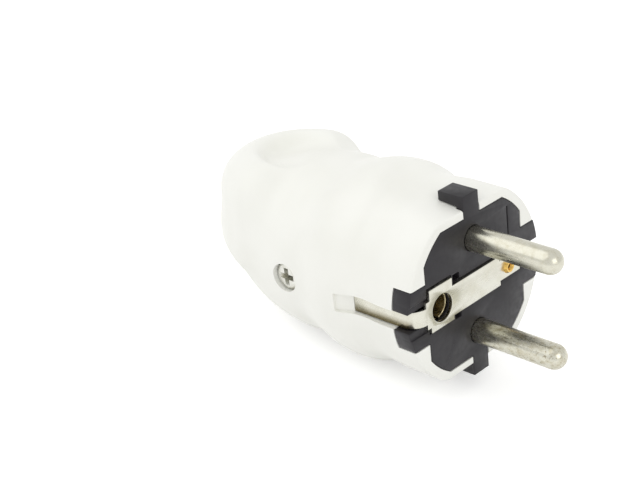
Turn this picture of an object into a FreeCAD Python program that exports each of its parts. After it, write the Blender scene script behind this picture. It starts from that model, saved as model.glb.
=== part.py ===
import FreeCAD, Part
import math
import os
import re
import Sketcher

# Mains plug for side clip and earth pin sockets, with a pull head on its back.
# X points forward out of the pin face, Z runs along the line of the two pins.
# The origin is the centre of the pin face. All sizes are in millimetres.

sizes = [
    ("pin_pitch", 19.0, "between the two pin axes"),
    ("pin_dia", 4.8, "round pin"),
    ("pin_reach", 19.4, "pin tip in front of the face"),
    ("pin_neck_dia", 4.3, "turned neck of the pin where it sits in the plate"),
    ("pin_collar_dia", 6.8, "shoulder that stops the pin behind the face plate"),
    ("pin_collar_len", 1.6, "shoulder length"),
    ("block_side", 7.6, "square terminal block on the pin"),
    ("block_edge", 0.5, "chamfer along its edges"),
    ("wire_stop", 1.5, "solid end of the wire hole in that block"),
    ("wire_hole_dia", 3.2, "wire hole in a terminal"),
    ("terminal_screw_dia", 3.5, "thread of the terminal screws"),
    ("terminal_screw_len", 4.4, "shank of the terminal screws"),
    ("terminal_screw_back", 5.7, "screw axis behind the front of the block"),
    ("terminal_screw_head", 5.6, "head of the terminal screws"),
    ("terminal_screw_height", 1.9, "height of that head"),
    ("head_lift", 0.6, "that head above its block"),
    ("fit_gap", 0.15, "clearance between fitted pieces"),
    ("pin_gap", 0.05, "clearance round pins, rivets and threads"),
    ("close_gap", 0.1, "clearance round the nut and behind the clips"),
    ("screw_clear", 0.2, "clearance round a screw head or shank in its hole"),
    ("screw_room", 0.5, "room round the head of a terminal screw"),
    ("overcut", 1.0, "how far a cut or a joint reaches past a surface"),
    ("front_r", 18.5, "front barrel of the housing"),
    ("front_len", 14.3, "length of that barrel"),
    ("swell_start", 0.15, "slope where the barrel swells into the collar"),
    ("collar_r", 19.65, "crest of the collar"),
    ("collar_back", 19.5, "crest behind the face"),
    ("waist_r", 17.75, "waist behind the collar"),
    ("waist_back", 29.0, "waist behind the face"),
    ("grip_r", 17.95, "top of the grip"),
    ("grip_back", 32.5, "top of the grip behind the face"),
    ("grip_arc", 38.0, "radius of the tapering grip, seen from the side"),
    ("taper_back", 52.5, "where the grip turns into the straight neck taper"),
    ("neck_r", 7.6, "neck at the cable inlet"),
    ("body_len", 60.6, "neck end of the housing behind the face"),
    ("neck_round", 1.2, "rounding of the neck end"),
    ("ramp_front", 15.7, "half height over the two front flats, at the face"),
    ("ramp_rise", 1.75, "rise of a flat along the barrel"),
    ("ramp_clear", 0.3, "end of that flat above the collar"),
    ("opening_len", 17.3, "opening that takes the carrier, behind the face"),
    ("head_front", 40.7, "front of the pull head behind the face"),
    ("head_back", 61.0, "rear of the pull head behind the face"),
    ("head_half_width", 16.3, "half width of the pull head"),
    ("head_top", 18.25, "top of the pull head above the axis"),
    ("head_round", 8.2, "rounding of its top edge"),
    ("head_under", 1.2, "underside of the head below the axis"),
    ("head_edge_round", 1.6, "rounding of its front edge"),
    ("head_slant", 18.0, "degrees that the lower part of its front leans back"),
    ("head_slant_top", 10.0, "top of that part above the axis"),
    ("thumb_half", 8.0, "half width of the thumb hollow at its wall"),
    ("thumb_long", 11.4, "its rear wall from its middle"),
    ("thumb_back", 40.0, "its middle behind the face"),
    ("thumb_start", 8.0, "where its wall starts above the axis, inside the grip"),
    ("thumb_flare", 2.4, "radius of its flared rim"),
    ("thumb_flare_low", 16.1, "start of the flare above the axis"),
    ("plate_r", 16.5, "round of the face plate"),
    ("plate_flat", 14.05, "half height of the face plate"),
    ("plate_side", 13.55, "half width of the face plate"),
    ("plate_thick", 3.0, "face plate"),
    ("barrel_step", 0.35, "how far the carrier barrel is set back from the plate edge"),
    ("barrel_len", 15.5, "rear of the carrier barrel behind the face"),
    ("block_room", 0.75, "room between a terminal block and the cover behind it"),
    ("block_len", "=barrel_len - plate_thick - pin_collar_len - fit_gap - block_room",
     "length of a terminal block"),
    ("arm_top", 5.95, "outer edge of the clip guard arms above the axis"),
    ("arm_low", 1.9, "inner edge of the arms"),
    ("arm_depth", 4.0, "arms along the barrel"),
    ("tab_half", 2.15, "half width of the top and bottom hooks"),
    ("tab_top", 18.35, "top of the hooks"),
    ("tab_depth", 5.8, "hooks along the barrel"),
    ("tab_neck", 1.6, "neck of the hooks"),
    ("tab_thick", 1.85, "thickness of the hooks"),
    ("tab_slope", 0.3, "how much thicker they are at the neck"),
    ("slot_half", 1.85, "half height of the side slots"),
    ("slot_len", 14.4, "open slot behind the face"),
    ("slot_ramp", 3.2, "ramp behind the open slot"),
    ("slot_ramp_r", 18.9, "end of that ramp from the axis"),
    ("sheet", 0.8, "contact sheet"),
    ("strap_proud", 0.4, "strap in front of the face plate"),
    ("strap_half", 3.0, "half width of the earth strap"),
    ("strap_gap", 0.3, "gap round the strap in its recess"),
    ("strap_end", 6.5, "end of the wide strap past the centre"),
    ("eye_top", 4.7, "upper lobe round the earth hole"),
    ("eye_low", 3.8, "lower lobe round the earth hole"),
    ("eye_inner", 7.0, "inner edge of the lobes"),
    ("eye_outer", 13.2, "outer edge of the lobes"),
    ("earth_offset", 10.0, "earth hole from the centre"),
    ("earth_hole_dia", 5.4, "earth hole"),
    ("shoulder_half", 2.7, "half width of the strap past the lobes"),
    ("shoulder_outer", 16.2, "outer edge of that part"),
    ("tail_half", 2.05, "half width of the strap tail"),
    ("tail_end", 12.4, "end of the strap tail"),
    ("clip_half", 1.65, "half width of the side clips"),
    ("clip_face", 17.4, "outer face of the side clips from the axis"),
    ("clip_bend", 3.2, "outer bend of the side clips"),
    ("rivet_offset", 9.0, "rivet from the centre"),
    ("rivet_dia", 1.8, "rivet shank"),
    ("rivet_head_dia", 2.8, "rivet head"),
    ("rivet_head", 0.5, "height of the rivet head"),
    ("rivet_bore", 0.9, "bore of the rivet"),
    ("rivet_dish", 1.5, "mouth of that bore"),
    ("rivet_edge", 0.3, "slope round the rivet head"),
    ("rivet_back", 4.4, "end of the rivet behind the face"),
    ("relief_start", 6.3, "outer end of the two reliefs beside the strap"),
    ("relief_end", 4.5, "inner end of the reliefs"),
    ("relief_top", 4.7, "edge of the upper relief"),
    ("relief_low", 4.4, "edge of the lower relief"),
    ("relief_depth", 2.2, "depth of the reliefs"),
    ("slit_half", 0.15, "half width of the fine slit over the earth clip"),
    ("slit_low", 6.1, "start of the slit above the axis"),
    ("slit_top", 11.8, "end of the slit above the axis"),
    ("slit_depth", 0.8, "depth of the slit"),
    ("sleeve_bore", 4.9, "inside of the earth contact sleeve"),
    ("sleeve_wall", 0.7, "wall of the sleeve"),
    ("sleeve_len", 15.5, "length of the sleeve"),
    ("sleeve_sink", 1.0, "sleeve behind the face"),
    ("sleeve_slit", 0.7, "slit in the sleeve"),
    ("sleeve_slit_len", 10.85, "length of that slit"),
    ("socket_end", 20.0, "closed end of the earth socket behind the face"),
    ("socket_wall", 0.9, "plastic wall round the sleeve"),
    ("earth_block_width", 4.8, "earth terminal across"),
    ("earth_block_height", 6.4, "earth terminal height"),
    ("earth_block_len", 8.0, "earth terminal length"),
    ("earth_block_offset", 8.0, "middle of the earth terminal from the centre"),
    ("earth_wire_stop", 2.2, "solid end of its wire hole"),
    ("earth_rivet_depth", 1.5, "depth of its rivet hole"),
    ("earth_thread_past", 0.8, "end of its thread past the middle"),
    ("earth_screw_back", 5.4, "its screw behind the face plate"),
    ("earth_screw_head", 5.0, "head of the earth screw"),
    ("earth_screw_height", 1.5, "height of that head"),
    ("earth_screw_len", 3.2, "shank of the earth screw"),
    ("earth_head_lift", 0.3, "that head above its block"),
    ("cover_thick", 1.8, "contact cover"),
    ("cover_half", 13.6, "half height of the cover"),
    ("cover_width", 13.1, "far side of the cover from the centre"),
    ("cover_corner", 5.4, "how far its corners are cut along the top"),
    ("cover_corner_height", 9.2, "where the corner cuts end on the far side"),
    ("cover_side", 4.6, "straight side of the cover from the centre"),
    ("wire_window", 4.4, "openings for the wires"),
    ("cover_screw_dia", 2.6, "thread of the cover screw"),
    ("cover_screw_len", 7.8, "shank of the cover screw"),
    ("cover_screw_head", 4.8, "head of the cover screw"),
    ("cover_screw_height", 1.6, "height of that head"),
    ("cover_screw_depth", 8.0, "hole for the cover screw"),
    ("leg_outer", 12.4, "outer face of the leg from the axis"),
    ("leg_thick", 3.4, "leg thickness"),
    ("leg_half", 3.4, "half width of the leg"),
    ("leg_end", 36.6, "end of the straight leg behind the face"),
    ("leg_foot", 2.0, "step between the leg and the cord clamp"),
    ("clamp_back", 40.5, "middle of the cord clamp behind the face"),
    ("clamp_len", 6.0, "cord clamp along the cord"),
    ("clamp_base_thick", 2.4, "base under the cord"),
    ("clamp_base_end", 44.3, "end of that base behind the face"),
    ("clamp_base_half", 9.6, "half width of that base"),
    ("cord_dia", 8.0, "cord that the clamp holds"),
    ("cord_seat", 5.0, "cord seat from the axis"),
    ("clamp_sheet", 1.2, "steel of the clamp saddle"),
    ("ear_drop", 1.0, "ears of the saddle from the middle of the cord"),
    ("ear_end", 2.3, "ears past the screw axes"),
    ("clamp_screw_pitch", 16.0, "between the clamp screws"),
    ("clamp_screw_dia", 3.0, "thread of the clamp screws"),
    ("clamp_screw_len", 5.5, "shank of the clamp screws"),
    ("clamp_screw_head", 4.8, "head of the clamp screws"),
    ("clamp_screw_height", 1.7, "height of that head"),
    ("side_screw_back", 32.3, "housing screw behind the face"),
    ("side_screw_dia", 3.0, "thread of the housing screw"),
    ("side_screw_head", 5.6, "head of the housing screw"),
    ("side_screw_height", 2.2, "height of that head"),
    ("side_screw_seat", 14.9, "seat of its head from the axis"),
    ("side_screw_len", 7.4, "shank of the housing screw"),
    ("nut_side", 5.5, "square nut across flats"),
    ("nut_thick", 1.8, "square nut"),
    ("drive_width", 0.8, "slot in a screw head"),
    ("cross_width", 1.1, "arms of a cross recess"),
    ("cross_share", 0.3, "reach of those arms as a share of the head"),
    ("drive_share", 0.6, "depth of a drive as a share of the head height"),
    ("round_share", 0.3, "rounding of a head as a share of its height"),
    ("tip_share", 0.12, "chamfer of a shank as a share of its diameter"),
    ("cavity_front", 18.3, "end of the cavity's front cone behind the face"),
    ("cavity_front_r", 15.9, "cavity behind the front opening"),
    ("cavity_waist_r", 15.0, "cavity at the waist"),
    ("cavity_mid_r", 13.5, "cavity at the housing screw"),
    ("cavity_back_r", 12.9, "cavity under the thumb hollow"),
    ("cavity_clamp_end", 44.5, "where the cavity starts to narrow behind the face"),
    ("cavity_end_r", 8.2, "cavity at the inlet"),
    ("cavity_end", 53.2, "rear wall of the cavity behind the face"),
    ("inlet_dia", 10.0, "bore of the cable inlet"),
    ("grommet_bore", 8.2, "bore of the grommet"),
    ("grommet_flange_dia", 12.8, "flange of the grommet"),
    ("grommet_flange", 1.4, "flange thickness"),
    ("grommet_sink", 0.3, "grommet inside the neck end"),
]

doc = FreeCAD.newDocument("plug")
sheet = doc.addObject("Spreadsheet::Sheet", "Sizes")
for row, (alias, value, note) in enumerate(sizes, 1):
    sheet.set("A%d" % row, alias)
    sheet.set("B%d" % row, str(value))
    sheet.set("C%d" % row, note)
    sheet.setAlias("B%d" % row, alias)
doc.recompute()

aliasWord = re.compile(r"\b(%s)\b" % "|".join(alias for alias, value, note in sizes))


def bound(text):
    return aliasWord.sub(r"Sizes.\1", text)


def size(text):
    return float(sheet.evalExpression(text))


def addBody(label):
    body = doc.addObject("PartDesign::Body", label)
    body.Label = label
    return body


def addSketch(body, role, offset="0"):
    plane = [item for item in body.Origin.OriginFeatures if item.Role == role][0]
    sketch = body.newObject("Sketcher::SketchObject", body.Label + "_sketch")
    sketch.AttachmentSupport = (plane, [""])
    sketch.MapMode = "FlatFace"
    sketch.AttachmentOffset = FreeCAD.Placement(FreeCAD.Vector(0, 0, size(offset)), FreeCAD.Rotation())
    sketch.setExpression("AttachmentOffset.Base.z", bound(offset))
    return sketch


def setDatum(sketch, kind, geometry, point, text):
    if kind == "Radius":
        constraint = Sketcher.Constraint(kind, geometry, size(text))
    else:
        constraint = Sketcher.Constraint(kind, -1, 1, geometry, point, size(text))
    index = sketch.addConstraint(constraint)
    sketch.setExpression("Constraints[%d]" % index, bound(text))


def closeLoop(sketch, loop):
    for this, following in zip(loop, loop[1:] + loop[:1]):
        sketch.addConstraint(Sketcher.Constraint("Coincident", this, 2, following, 1))


def outline(sketch, points):
    corners = [FreeCAD.Vector(size(x), size(y), 0) for x, y in points]
    loop = []
    for start, end in zip(corners, corners[1:] + corners[:1]):
        loop.append(sketch.addGeometry(Part.LineSegment(start, end)))
    closeLoop(sketch, loop)
    for edge, (x, y) in zip(loop, points):
        setDatum(sketch, "DistanceX", edge, 1, x)
        setDatum(sketch, "DistanceY", edge, 1, y)


def rectangle(sketch, left, low, right, high):
    outline(sketch, [(left, low), (right, low), (right, high), (left, high)])


def disc(sketch, x, y, radius):
    middle = FreeCAD.Vector(size(x), size(y), 0)
    edge = sketch.addGeometry(Part.Circle(middle, FreeCAD.Vector(0, 0, 1), size(radius)))
    setDatum(sketch, "DistanceX", edge, 3, x)
    setDatum(sketch, "DistanceY", edge, 3, y)
    setDatum(sketch, "Radius", edge, 0, radius)


def arc(sketch, radius, start, end):
    circle = Part.Circle(FreeCAD.Vector(0, 0, 0), FreeCAD.Vector(0, 0, 1), radius)
    edge = sketch.addGeometry(Part.ArcOfCircle(circle, start, end))
    sketch.addConstraint(Sketcher.Constraint("Coincident", edge, 3, -1, 1))
    return edge


def line(sketch, start, end):
    return sketch.addGeometry(Part.LineSegment(FreeCAD.Vector(*start, 0), FreeCAD.Vector(*end, 0)))


# the face outline: a circle cut by two flats and two straight sides
def plateOutline(sketch, grow):
    radiusText = "plate_r + (%s)" % grow
    flatText = "plate_flat + (%s)" % grow
    sideText = "plate_side + (%s)" % grow
    radius, flat, side = size(radiusText), size(flatText), size(sideText)
    corner = math.acos(side / radius)
    shoulder = math.asin(flat / radius)
    sideHigh = radius * math.sin(corner)
    flatWide = radius * math.cos(shoulder)
    turn = math.pi
    right = line(sketch, (side, -sideHigh), (side, sideHigh))
    upperRight = arc(sketch, radius, corner, shoulder)
    top = line(sketch, (flatWide, flat), (-flatWide, flat))
    upperLeft = arc(sketch, radius, turn - shoulder, turn - corner)
    left = line(sketch, (-side, sideHigh), (-side, -sideHigh))
    lowerLeft = arc(sketch, radius, turn + corner, turn + shoulder)
    bottom = line(sketch, (-flatWide, -flat), (flatWide, -flat))
    lowerRight = arc(sketch, radius, 2 * turn - shoulder, 2 * turn - corner)
    closeLoop(sketch, [right, upperRight, top, upperLeft, left, lowerLeft, bottom, lowerRight])
    for edge in (right, left):
        sketch.addConstraint(Sketcher.Constraint("Vertical", edge))
    for edge in (top, bottom):
        sketch.addConstraint(Sketcher.Constraint("Horizontal", edge))
    setDatum(sketch, "DistanceX", right, 1, sideText)
    setDatum(sketch, "DistanceY", top, 1, flatText)
    setDatum(sketch, "DistanceX", left, 1, "-(%s)" % sideText)
    setDatum(sketch, "DistanceY", bottom, 1, "-(%s)" % flatText)
    for edge in (upperRight, upperLeft, lowerLeft, lowerRight):
        setDatum(sketch, "Radius", edge, 0, radiusText)


def extrude(body, kind, sketch, length, backward=False, midplane=False):
    feature = body.newObject("PartDesign::" + kind, body.Label + "_" + kind.lower())
    feature.Profile = sketch
    feature.setExpression("Length", bound(length))
    feature.Reversed = backward
    feature.Midplane = midplane
    doc.recompute()
    return feature


def pad(body, sketch, length, backward=False, midplane=False):
    return extrude(body, "Pad", sketch, length, backward, midplane)


# a pocket always has to take something away
def pocket(body, sketch, length, forward=False, midplane=False):
    before = body.Tip.Shape.Volume
    feature = extrude(body, "Pocket", sketch, length, forward, midplane)
    if feature.Shape.Volume > before - 1e-6:
        raise RuntimeError("%s: a pocket cuts nothing" % body.Label)
    return feature


def turned(body, kind, sketch, axis="H_Axis"):
    feature = body.newObject("PartDesign::" + kind, body.Label + "_" + kind.lower())
    feature.Profile = sketch
    feature.ReferenceAxis = (sketch, [axis])
    feature.Angle = 360.0
    doc.recompute()
    return feature


def dress(body, kind, amount, test):
    base = body.Tip
    names = ["Edge%d" % (i + 1) for i, edge in enumerate(base.Shape.Edges) if test(edge.BoundBox)]
    feature = body.newObject("PartDesign::" + kind, body.Label + "_" + kind.lower())
    feature.Base = (base, names)
    feature.setExpression("Radius" if kind == "Fillet" else "Size", bound(amount))
    doc.recompute()
    return feature


def near(value, target):
    return abs(value - target) < 0.01


def place(body, x="0", y="0", z="0", axis=(1, 0, 0), angle=0):
    move = FreeCAD.Vector(size(x), size(y), size(z))
    body.Placement = FreeCAD.Placement(move, FreeCAD.Rotation(FreeCAD.Vector(*axis), angle))
    for letter, text in (("x", x), ("y", y), ("z", z)):
        body.setExpression("Placement.Base." + letter, bound(text))


# HOUSING
# a turned shell that swells to a collar and tapers to the cable neck
def housingTurned():
    front = FreeCAD.Vector(-size("front_len"), 0, size("front_r"))
    collarFoot = FreeCAD.Vector(-size("(front_len * 2 + collar_back) / 3"), 0,
                                size("(front_r + collar_r * 2) / 3"))
    crest = FreeCAD.Vector(-size("collar_back"), 0, size("collar_r"))
    fall = FreeCAD.Vector(-size("(collar_back + waist_back) / 2"), 0, size("(collar_r * 2 + waist_r) / 3"))
    waist = FreeCAD.Vector(-size("waist_back"), 0, size("waist_r"))
    grip = FreeCAD.Vector(-size("grip_back"), 0, size("grip_r"))
    swell = Part.BSplineCurve()
    swell.interpolate(Points=[front, collarFoot, crest, fall, waist, grip],
                      InitialTangent=FreeCAD.Vector(-1, 0, size("swell_start")),
                      FinalTangent=FreeCAD.Vector(-1, 0, 0))
    centreHeight = size("grip_r - grip_arc")

    def onGrip(back):
        run = back - size("grip_back")
        return FreeCAD.Vector(-back, 0, centreHeight + math.sqrt(size("grip_arc") ** 2 - run ** 2))

    taperStart = onGrip(size("taper_back"))
    gripMiddle = onGrip(size("(grip_back + taper_back) / 2"))
    neck = FreeCAD.Vector(-size("body_len"), 0, size("neck_r"))
    along = (taperStart - neck).normalize()
    inward = FreeCAD.Vector(0, 0, -1)
    half = along.getAngle(inward) / 2
    between = (along + inward).normalize()
    rounding = size("neck_round")
    middle = neck + between * (rounding / math.sin(half))
    neckSide = neck + along * (rounding / math.tan(half))
    neckEnd = neck + inward * (rounding / math.tan(half))
    edges = [
        Part.LineSegment(FreeCAD.Vector(0, 0, size("front_r")), front).toShape(),
        swell.toShape(),
        Part.Arc(grip, gripMiddle, taperStart).toShape(),
        Part.LineSegment(taperStart, neckSide).toShape(),
        Part.Arc(neckSide, middle - between * rounding, neckEnd).toShape(),
        Part.LineSegment(neckEnd, FreeCAD.Vector(neck.x, 0, 0)).toShape(),
        Part.LineSegment(FreeCAD.Vector(neck.x, 0, 0), FreeCAD.Vector(0, 0, 0)).toShape(),
        Part.LineSegment(FreeCAD.Vector(0, 0, 0), FreeCAD.Vector(0, 0, size("front_r"))).toShape(),
    ]
    face = Part.Face(Part.Wire(edges))
    return face.revolve(FreeCAD.Vector(0, 0, 0), FreeCAD.Vector(1, 0, 0), 360)


# the pull head: a dome turned about the vertical and stretched towards the back,
# cut off upright in front and leaning back lower down
def housingHead():
    width, top, under = size("head_half_width"), size("head_top"), size("head_under")
    length = size("head_back - head_front")
    dome = Part.makeCylinder(width, top + under, FreeCAD.Vector(0, 0, -under))
    rim = [edge for edge in dome.Edges if near(edge.BoundBox.ZMin, top) and near(edge.BoundBox.ZMax, top)]
    dome = dome.makeFillet(size("head_round"), rim)
    stretch = FreeCAD.Matrix()
    stretch.scale(length / width, 1, 1)
    dome = dome.transformGeometry(stretch)
    front = Part.makeBox(4 * width, 4 * width, 4 * top, FreeCAD.Vector(0, -2 * width, -2 * top))
    dome = dome.cut(front)
    edges = [edge for edge in dome.Edges if near(edge.BoundBox.XMax, 0) and edge.BoundBox.ZMax > 1]
    dome = dome.makeFillet(size("head_edge_round"), edges)
    front.rotate(FreeCAD.Vector(0, 0, 0), FreeCAD.Vector(0, 1, 0), size("head_slant"))
    front.translate(FreeCAD.Vector(0, 0, size("head_slant_top")))
    dome = dome.cut(front)
    dome.translate(FreeCAD.Vector(-size("head_front"), 0, 0))
    return dome


# what the thumb hollow takes away from the head: a drum with a flared rim, stretched
# along the plug, whose floor is the grip itself
def housingThumb():
    half, flare = size("thumb_half"), size("thumb_flare")
    start, low = size("thumb_start"), size("thumb_flare_low")
    slant = flare * math.sqrt(0.5)
    rimFoot = FreeCAD.Vector(half, 0, low)
    rimMiddle = FreeCAD.Vector(half + flare - slant, 0, low + slant)
    rimTop = FreeCAD.Vector(half + flare, 0, low + flare)
    lid = size("head_top + overcut")
    edges = [
        Part.LineSegment(FreeCAD.Vector(0, 0, start), FreeCAD.Vector(half, 0, start)).toShape(),
        Part.LineSegment(FreeCAD.Vector(half, 0, start), rimFoot).toShape(),
        Part.Arc(rimFoot, rimMiddle, rimTop).toShape(),
        Part.LineSegment(rimTop, FreeCAD.Vector(half + flare, 0, lid)).toShape(),
        Part.LineSegment(FreeCAD.Vector(half + flare, 0, lid), FreeCAD.Vector(0, 0, lid)).toShape(),
        Part.LineSegment(FreeCAD.Vector(0, 0, lid), FreeCAD.Vector(0, 0, start)).toShape(),
    ]
    drum = Part.Face(Part.Wire(edges)).revolve(FreeCAD.Vector(0, 0, 0), FreeCAD.Vector(0, 0, 1), 360)
    stretch = FreeCAD.Matrix()
    stretch.scale(size("thumb_long") / half, 1, 1)
    drum = drum.transformGeometry(stretch)
    drum.translate(FreeCAD.Vector(-size("thumb_back"), 0, 0))
    return drum


def addShape(label, shape):
    feature = doc.addObject("Part::Feature", label)
    feature.Shape = shape
    return feature


def addHousing():
    shell = addShape("housing_shell", housingTurned())
    head = addShape("housing_head", housingHead())
    thumb = addShape("housing_thumb", housingThumb())
    hood = doc.addObject("Part::Cut", "housing_hood")
    hood.Base, hood.Tool = head, thumb
    joined = doc.addObject("Part::Fuse", "housing_joined")
    joined.Base, joined.Tool = shell, hood
    doc.recompute()
    body = addBody("housing")
    body.BaseFeature = joined
    doc.recompute()
    for side in ("", "-"):
        flat = addSketch(body, "XZ_Plane")
        outline(flat, [("overcut", side + "(ramp_front - ramp_rise / front_len)"),
                       ("overcut", side + "(collar_r + 2 * overcut)"),
                       ("-collar_back", side + "(collar_r + 2 * overcut)"),
                       ("-collar_back", side + "(collar_r + ramp_clear)"),
                       ("-front_len", side + "(ramp_front + ramp_rise)")])
        pocket(body, flat, "front_r * 2", midplane=True)
    opening = addSketch(body, "YZ_Plane")
    plateOutline(opening, "fit_gap")
    pocket(body, opening, "opening_len")
    cavity = addSketch(body, "XZ_Plane")
    outline(cavity, [("-front_len", "0"),
                     ("-front_len", "plate_flat + fit_gap"),
                     ("-cavity_front", "cavity_front_r"),
                     ("-waist_back", "cavity_waist_r"),
                     ("-side_screw_back", "cavity_mid_r"),
                     ("-clamp_back", "cavity_back_r"),
                     ("-cavity_clamp_end", "cavity_back_r"),
                     ("-cavity_end", "cavity_end_r"),
                     ("-cavity_end", "0")])
    turned(body, "Groove", cavity)
    inlet = addSketch(body, "YZ_Plane", "-(head_back + overcut)")
    disc(inlet, "0", "0", "inlet_dia / 2")
    pocket(body, inlet, "head_back - cavity_end + 2 * overcut", forward=True)
    for side in ("", "-"):
        slot = addSketch(body, "XY_Plane")
        outline(slot, [("overcut", side + "(plate_side - overcut)"),
                       ("overcut", side + "(collar_r + overcut)"),
                       ("-(slot_len + slot_ramp)", side + "(collar_r + overcut)"),
                       ("-(slot_len + slot_ramp)", side + "slot_ramp_r"),
                       ("-slot_len", side + "clip_face"),
                       ("-slot_len", side + "(plate_side - overcut)")])
        pocket(body, slot, "slot_half * 2", midplane=True)
        for high in ("", "-"):
            notch = addSketch(body, "YZ_Plane")
            rectangle(notch, side + "(plate_side - overcut)", high + "(arm_low - fit_gap)",
                      side + "(front_r + overcut)", high + "(arm_top + fit_gap)")
            pocket(body, notch, "arm_depth + fit_gap")
    for side in ("", "-"):
        neck = addSketch(body, "YZ_Plane")
        rectangle(neck, "-(tab_half + fit_gap)", side + "(plate_flat - overcut)",
                  "tab_half + fit_gap", side + "(tab_top + overcut)")
        pocket(body, neck, "tab_neck + fit_gap")
    recess = addSketch(body, "XZ_Plane", "grip_r + overcut")
    disc(recess, "-side_screw_back", "0", "side_screw_head / 2 + screw_clear")
    pocket(body, recess, "grip_r + overcut - side_screw_seat")
    hole = addSketch(body, "XZ_Plane", "grip_r + overcut")
    disc(hole, "-side_screw_back", "0", "side_screw_dia / 2 + screw_clear")
    pocket(body, hole, "grip_r + 2 * overcut - cavity_mid_r")
    return body


# CONTACT CARRIER
# the dark face plate with its guard arms and hooks, the barrel behind it with open
# chambers for the terminals, and the leg that takes the housing screw and the cord clamp
def addArm(body, side, high):
    sketch = addSketch(body, "YZ_Plane")
    radius, top, low, inner = size("front_r"), size("arm_top"), size("arm_low"), size("plate_side - overcut")
    outerTop, outerLow = math.sqrt(radius ** 2 - top ** 2), math.sqrt(radius ** 2 - low ** 2)
    a, b = math.atan2(low, outerLow), math.atan2(top, outerTop)
    corners = [(inner, low), (outerLow, low), (outerTop, top), (inner, top)]
    corners = [(side * y, high * z) for y, z in corners]
    if side * high > 0:
        span = (a, b) if side > 0 else (math.pi + a, math.pi + b)
        first = line(sketch, corners[0], corners[1])
        curve = arc(sketch, radius, *span)
        second = line(sketch, corners[2], corners[3])
        third = line(sketch, corners[3], corners[0])
        lowEdge, topEdge = first, second
    else:
        span = (-b, -a) if side > 0 else (math.pi - b, math.pi - a)
        first = line(sketch, corners[3], corners[2])
        curve = arc(sketch, radius, *span)
        second = line(sketch, corners[1], corners[0])
        third = line(sketch, corners[0], corners[3])
        lowEdge, topEdge = second, first
    closeLoop(sketch, [first, curve, second, third])
    sketch.addConstraint(Sketcher.Constraint("Horizontal", first))
    sketch.addConstraint(Sketcher.Constraint("Horizontal", second))
    sketch.addConstraint(Sketcher.Constraint("Vertical", third))
    setDatum(sketch, "Radius", curve, 0, "front_r")
    setDatum(sketch, "DistanceX", third, 1, ("" if side > 0 else "-") + "(plate_side - overcut)")
    setDatum(sketch, "DistanceY", lowEdge, 1, ("" if high > 0 else "-") + "arm_low")
    setDatum(sketch, "DistanceY", topEdge, 1, ("" if high > 0 else "-") + "arm_top")
    pad(body, sketch, "arm_depth", backward=True)


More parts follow.
